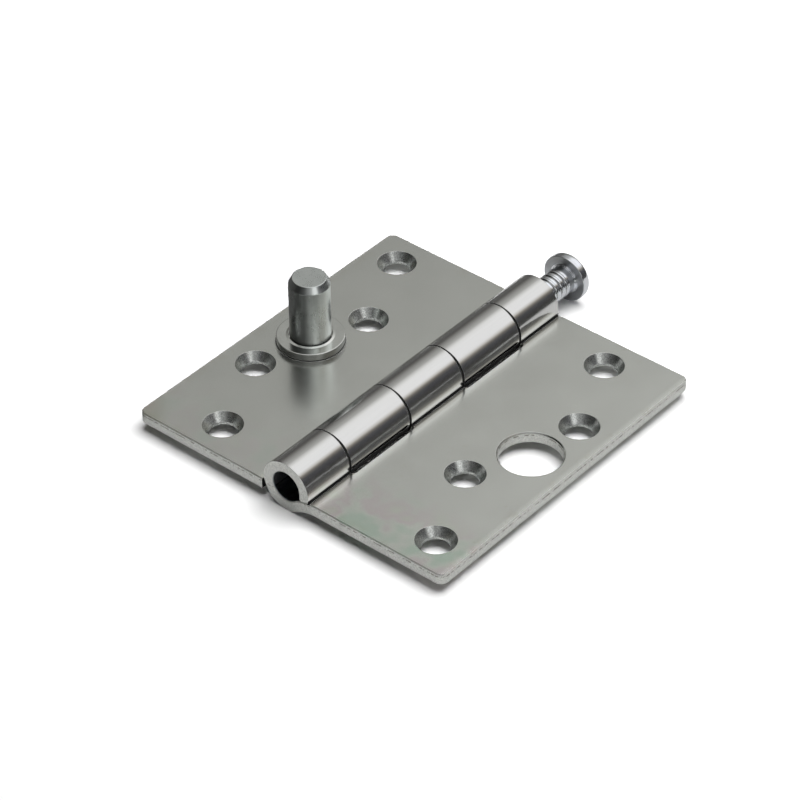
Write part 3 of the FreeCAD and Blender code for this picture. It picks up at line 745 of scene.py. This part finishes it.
class HINGE_OT_studio(bpy.types.Operator):
    """Set up the camera, the pale floor and the light tent"""

    bl_idname = "hinge.studio"
    bl_label = "Studio"

    def execute(self, context):
        sizes = context.scene.hinge_studio
        self.place_camera(context, sizes)
        self.lay_floor(context, sizes)
        self.pitch_tent(context, sizes)
        self.stand_card(context, sizes)
        self.fill_world(context)
        return {"FINISHED"}

    @staticmethod
    def place_camera(context, sizes):
        """Camera on a line from the aim point, turned about that line by the roll."""
        flat = math.cos(sizes.elevation)
        back = Vector((math.sin(sizes.azimuth) * flat, -math.cos(sizes.azimuth) * flat,
                       math.sin(sizes.elevation)))
        level = Vector((0.0, 0.0, 1.0)).cross(back).normalized()
        upward = back.cross(level)
        right = level * math.cos(sizes.roll) + upward * math.sin(sizes.roll)
        top = back.cross(right)
        turned = Matrix((right, top, back)).transposed().to_4x4()
        data = bpy.data.cameras.new("camera")
        data.sensor_width = SENSOR_MM
        data.lens = sizes.focal_px * SENSOR_MM / IMAGE_SIDE_PX
        data.clip_start = NEAR_CLIP
        data.clip_end = FAR_CLIP
        camera = bpy.data.objects.new("camera", data)
        context.scene.collection.objects.link(camera)
        spot = Vector(sizes.aim) + back * sizes.distance
        camera.matrix_world = Matrix.Translation(spot) @ turned
        context.scene.camera = camera

    @staticmethod
    def lay_floor(context, sizes):
        """Matt floor under the barrel, clear from below.

        It looks paler to the camera, most of all far from the hinge, and in reflections.
        """
        half = FLOOR_HALF
        mesh = bpy.data.meshes.new("floor")
        mesh.from_pydata([(-half, -half, FLOOR_Z), (half, -half, FLOOR_Z),
                          (half, half, FLOOR_Z), (-half, half, FLOOR_Z)], [], [(0, 1, 2, 3)])
        material, finish = new_material("floor_paper")
        x, y, _ = finish.place().split()
        away = (x * x + y * y) ** 0.5
        in_view = finish.node("ShaderNodeLightPath", {}, {}, "Is Camera Ray")
        seen = in_view.most(finish.is_mirrored() * sizes.mirror_share)
        level = sizes.floor_tone + seen * (sizes.floor_gain - sizes.floor_tone)
        level = level + in_view * away.rise(sizes.plain_floor, 4 * sizes.plain_floor) * 2
        paper = finish.node("ShaderNodeBsdfPrincipled", {}, {
            "Base Color": finish.shade(WHITE, level), "Roughness": 1.0,
            "Specular IOR Level": 0.0})
        clear = finish.node("ShaderNodeBsdfTransparent", {}, {})
        from_below = finish.node("ShaderNodeNewGeometry", {}, {}, "Backfacing") * in_view
        shader = finish.node("ShaderNodeMixShader", {}, {
            "Fac": from_below, "Shader": paper, "Shader_001": clear})
        finish.node("ShaderNodeOutputMaterial", {}, {"Surface": shader}, None)
        mesh.materials.append(material)
        floor = bpy.data.objects.new("floor", mesh)
        context.scene.collection.objects.link(floor)

    def pitch_tent(self, context, sizes):
        """Half sphere over the hinge that glows inwards and that the camera looks through.

        A point is (cos e sin a, cos e cos a, sin e) times the radius, for all turns a and
        heights e.
        """
        turn = np.linspace(0.0, 2 * np.pi, TENT_TURNS + 1)[:-1]
        rise = np.linspace(0.0, np.pi / 2, TENT_ROWS + 1)[:, None]
        points = np.stack(np.broadcast_arrays(
            np.cos(rise) * np.sin(turn), np.cos(rise) * np.cos(turn), np.sin(rise)), -1)
        points = points * sizes.tent_radius + np.array((0.0, 0.0, FLOOR_Z))
        index = np.arange(points[..., 0].size).reshape(points.shape[:2])
        low, high = index[:-1], index[1:]
        quads = np.stack([low, np.roll(low, -1, axis=1), np.roll(high, -1, axis=1), high], -1)
        mesh = bpy.data.meshes.new("light_tent")
        mesh.from_pydata(points.reshape(-1, 3).tolist(), [], quads.reshape(-1, 4).tolist())
        mesh.materials.append(self.tent_material())
        tent = bpy.data.objects.new("light_tent", mesh)
        tent.visible_camera = False
        tent.visible_shadow = False
        context.scene.collection.objects.link(tent)

    @staticmethod
    def stand_card(context, sizes):
        """Dark ring of card that only the metal sees: (r sin a, r cos a, h) for all turns a.

        One more card lies on the floor, from its edge to the ring.
        """
        turn = np.linspace(0.0, 2 * np.pi, CARD_TURNS + 1)[:-1]
        height = np.array((0.0, sizes.card_height))[:, None] + FLOOR_Z
        points = np.stack(np.broadcast_arrays(
            sizes.card_radius * np.sin(turn), sizes.card_radius * np.cos(turn), height), -1)
        index = np.arange(points[..., 0].size).reshape(points.shape[:2])
        quads = np.stack([index[0], np.roll(index[0], -1), np.roll(index[1], -1), index[1]], -1)
        reach, edge, level = sizes.card_radius, sizes.card_edge, FLOOR_Z + CARD_GAP
        lying = [(-reach, -reach, level), (-edge, -reach, level),
                 (-edge, reach, level), (-reach, reach, level)]
        points = points.reshape(-1, 3).tolist() + lying
        last = len(points)
        mesh = bpy.data.meshes.new("dark_card")
        mesh.from_pydata(points, [], quads.tolist() + [(last - 4, last - 3, last - 2, last - 1)])
        material, finish = new_material("card_black")
        x, _, _ = finish.place().split()
        level = 0.055 + 0.075 * x.rise(40 * MM, -40 * MM)
        finish.glow(finish.shade((1.0, 0.99, 0.97), level))
        material.cycles.emission_sampling = "NONE"
        mesh.materials.append(material)
        card = bpy.data.objects.new("dark_card", mesh)
        card.visible_camera = False
        card.visible_diffuse = False
        card.visible_shadow = False
        context.scene.collection.objects.link(card)

    @staticmethod
    def tent_material():
        """Glow of the tent: even for the matt floor, and banded along the pin for the metal."""
        material, finish = new_material("tent_glow")
        material.cycles.emission_sampling = "NONE"
        place = finish.node("ShaderNodeVectorMath", {"operation": "NORMALIZE"},
                            {"Vector": finish.place()})
        x, y, z = place.split()

        def toward(direction):
            """Cosine of the angle between that direction and a point of the tent."""
            return finish.node("ShaderNodeVectorMath", {"operation": "DOT_PRODUCT"}, {
                "Vector": place, "Vector_001": Vector(direction).normalized()}, "Value")

        tilt = x.math("ARCTAN2", x, z) / math.pi + 0.5
        bands = finish.node("ShaderNodeValToRGB", {"stops": TENT_BANDS}, {"Fac": tilt})
        front = y.rise(0.20, -0.25) * z.rise(0.93, 0.70)
        dim = finish.shade(bands, 1 - 0.92 * front)
        dim = finish.mix(toward(LOW_LIGHT).rise(0.80, 0.97), dim, (0.33, 0.33, 0.33))
        glow = finish.mix(toward(SIDE_LAMP).rise(0.95, 0.985), dim, WHITE)
        plain = finish.shade(WHITE, 0.03 + 4.6 * toward(OVERHEAD_LAMP).rise(0.82, 0.97))
        finish.glow(finish.mix(finish.is_mirrored(), plain, glow))
        return material

    @staticmethod
    def fill_world(context):
        """White all round, which the camera sees behind the floor."""
        world = bpy.data.worlds.new("white_world")
        world.use_nodes = True
        finish = Finish(world.node_tree)
        shader = finish.node("ShaderNodeBackground", {}, {
            "Color": WHITE, "Strength": 1.0})
        finish.node("ShaderNodeOutputWorld", {}, {"Surface": shader}, None)
        context.scene.world = world
        context.scene.view_settings.view_transform = "Standard"


# Glow of the tent by its angle about the pin: (angle in degrees from straight up, colour).
TENT_ANGLES = [
    (-90, (0.06, 0.06, 0.06)),
    (-78, (0.08, 0.08, 0.08)),
    (-66, (0.12, 0.115, 0.11)),
    (-50, (0.28, 0.28, 0.27)),
    (-39, (0.39, 0.39, 0.38)),
    (-29, (0.46, 0.46, 0.45)),
    (-19, (0.78, 0.78, 0.77)),
    (-9, (0.97, 0.97, 0.98)),
    (32, (0.98, 0.98, 1.0)),
    (42, (0.68, 0.655, 0.62)),
    (50, (0.20, 0.18, 0.155)),
    (60, (0.08, 0.08, 0.088)),
    (90, (0.045, 0.045, 0.05)),
]
TENT_BANDS = [(0.5 + angle / 180.0, tint) for angle, tint in TENT_ANGLES]

# Directions from the hinge to the bright patches of the tent.
LOW_LIGHT = (0.68, -0.68, 0.26)
SIDE_LAMP = (0.90, -0.30, 0.40)
OVERHEAD_LAMP = (0.12, 0.20, 0.97)


class HINGE_PT_panel(bpy.types.Panel):
    """Panel with the hinge's pieces and their sizes."""

    bl_idname = "HINGE_PT_panel"
    bl_label = "Security hinge"
    bl_space_type = "VIEW_3D"
    bl_region_type = "UI"
    bl_category = "Hinge"

    def draw(self, context):
        for group_name, operator in STEPS:
            box = self.layout.box()
            box.operator(operator)
            group = getattr(context.scene, group_name)
            for name in group.bl_rna.properties.keys():
                if name not in ("rna_type", "name"):
                    box.prop(group, name)


GROUPS = {
    "hinge_leaves": HINGE_PG_leaves,
    "hinge_pin": HINGE_PG_pin,
    "hinge_stud": HINGE_PG_stud,
    "hinge_collar": HINGE_PG_collar,
    "hinge_studio": HINGE_PG_studio,
}
OPERATORS = (HINGE_OT_leaves, HINGE_OT_pin, HINGE_OT_stud, HINGE_OT_collar, HINGE_OT_studio)
STEPS = [
    ("hinge_studio", "hinge.studio"),
    ("hinge_leaves", "hinge.leaves"),
    ("hinge_pin", "hinge.pin"),
    ("hinge_stud", "hinge.stud"),
    ("hinge_collar", "hinge.collar"),
]


def register():
    for name, group in GROUPS.items():
        bpy.utils.register_class(group)
        setattr(bpy.types.Scene, name, bpy.props.PointerProperty(type=group))
    for operator in OPERATORS:
        bpy.utils.register_class(operator)
    bpy.utils.register_class(HINGE_PT_panel)


def unregister():
    bpy.utils.unregister_class(HINGE_PT_panel)
    for operator in reversed(OPERATORS):
        bpy.utils.unregister_class(operator)
    for name, group in reversed(GROUPS.items()):
        delattr(bpy.types.Scene, name)
        bpy.utils.unregister_class(group)


def main():
    """Dress the hinge and set up the studio."""
    register()
    bpy.ops.hinge.studio()
    bpy.ops.hinge.leaves()
    bpy.ops.hinge.pin()
    bpy.ops.hinge.stud()
    bpy.ops.hinge.collar()


if __name__ == "__main__":
    main()
